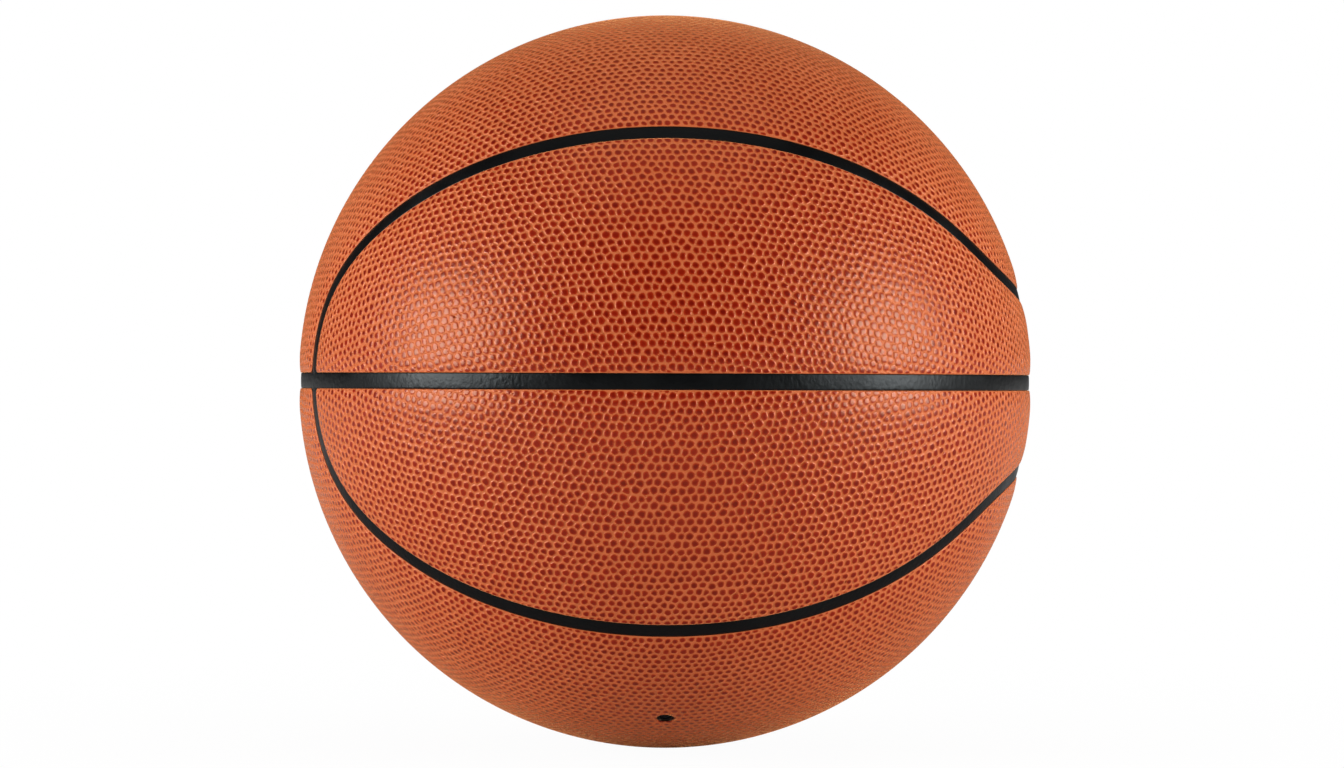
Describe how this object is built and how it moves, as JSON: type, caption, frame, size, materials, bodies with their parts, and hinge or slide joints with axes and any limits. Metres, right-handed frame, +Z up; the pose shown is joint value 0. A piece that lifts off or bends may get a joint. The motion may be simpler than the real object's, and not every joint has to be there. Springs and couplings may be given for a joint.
{
  "type": "basketball",
  "caption": "Full-size laminated basketball with pebbled cover panels between black rubber seams, rubber carcass, thread winding, bladder and needle valve.",
  "frame": {"origin": "centre of the ball", "axes": "+Z up, out of the top crown; the level seam lies in the plane z = 0; the upright seam lies in the plane y = 0; -Y is the front; the two straight seams cross at -X and +X, the wide loop of the curved seam on the -X side"},
  "size_m": [0.2384, 0.2384, 0.2384],
  "materials": {
    "cover": "pebbled, satin",
    "backing": "matte foam-backed cloth",
    "seam_rubber": "smooth, satin",
    "thread": "wound nylon thread",
    "bladder_rubber": "smooth, satin",
    "valve_rubber": "smooth, matte"
  },
  "bodies": {
    "root": {"bladder": "bladder_rubber", "valve_body": "valve_rubber", "valve_insert": "valve_rubber", "thread_winding": "thread", "rubber_carcass": "seam_rubber", "backing_top_front": "backing", "backing_top_back": "backing", "backing_bottom_front": "backing", "backing_bottom_back": "backing", "backing_belt_upper_front": "backing", "backing_belt_upper_back": "backing", "backing_belt_lower_front": "backing", "backing_belt_lower_back": "backing", "cover_top_front": "cover", "cover_top_back": "cover", "cover_bottom_front": "cover", "cover_bottom_back": "cover", "cover_belt_upper_front": "cover", "cover_belt_upper_back": "cover", "cover_belt_lower_front": "cover", "cover_belt_lower_back": "cover"}
  },
  "joints": []
}
